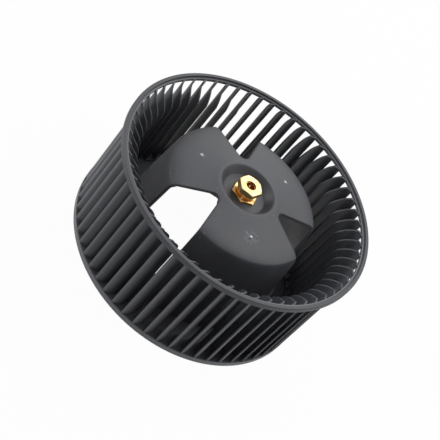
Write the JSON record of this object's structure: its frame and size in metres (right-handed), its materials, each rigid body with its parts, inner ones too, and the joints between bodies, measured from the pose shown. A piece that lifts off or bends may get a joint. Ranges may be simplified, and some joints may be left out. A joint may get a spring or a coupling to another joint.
{
  "type": "blower wheel",
  "caption": "Forward-curved centrifugal blower wheel in black plastic, with an inlet ring, a windowed hub dome, a brass shaft collet and a brass lock nut.",
  "frame": {"origin": "centre of the lower face of the hub-end ring, on the wheel's axis", "axes": "+Z along the wheel's axis, from the hub end to the open inlet; +X about 6 degrees from the middle of one window"},
  "size_m": [0.228, 0.228, 0.0994],
  "materials": {
    "plastic": "black moulded plastic, satin",
    "collet_brass": "turned brass",
    "nut_brass": "turned brass, facing cut"
  },
  "bodies": {
    "wheel": {"fan_wheel": "plastic", "shaft_collet": "collet_brass"},
    "nut": {"lock_nut": "nut_brass"}
  },
  "joints": [
    {"name": "nut_turn", "type": "hinge", "parent": "wheel", "child": "nut", "pos_m": [0, 0, 0.0963], "axis": [0, 0, 1], "range_deg": [0, 360]}
  ]
}
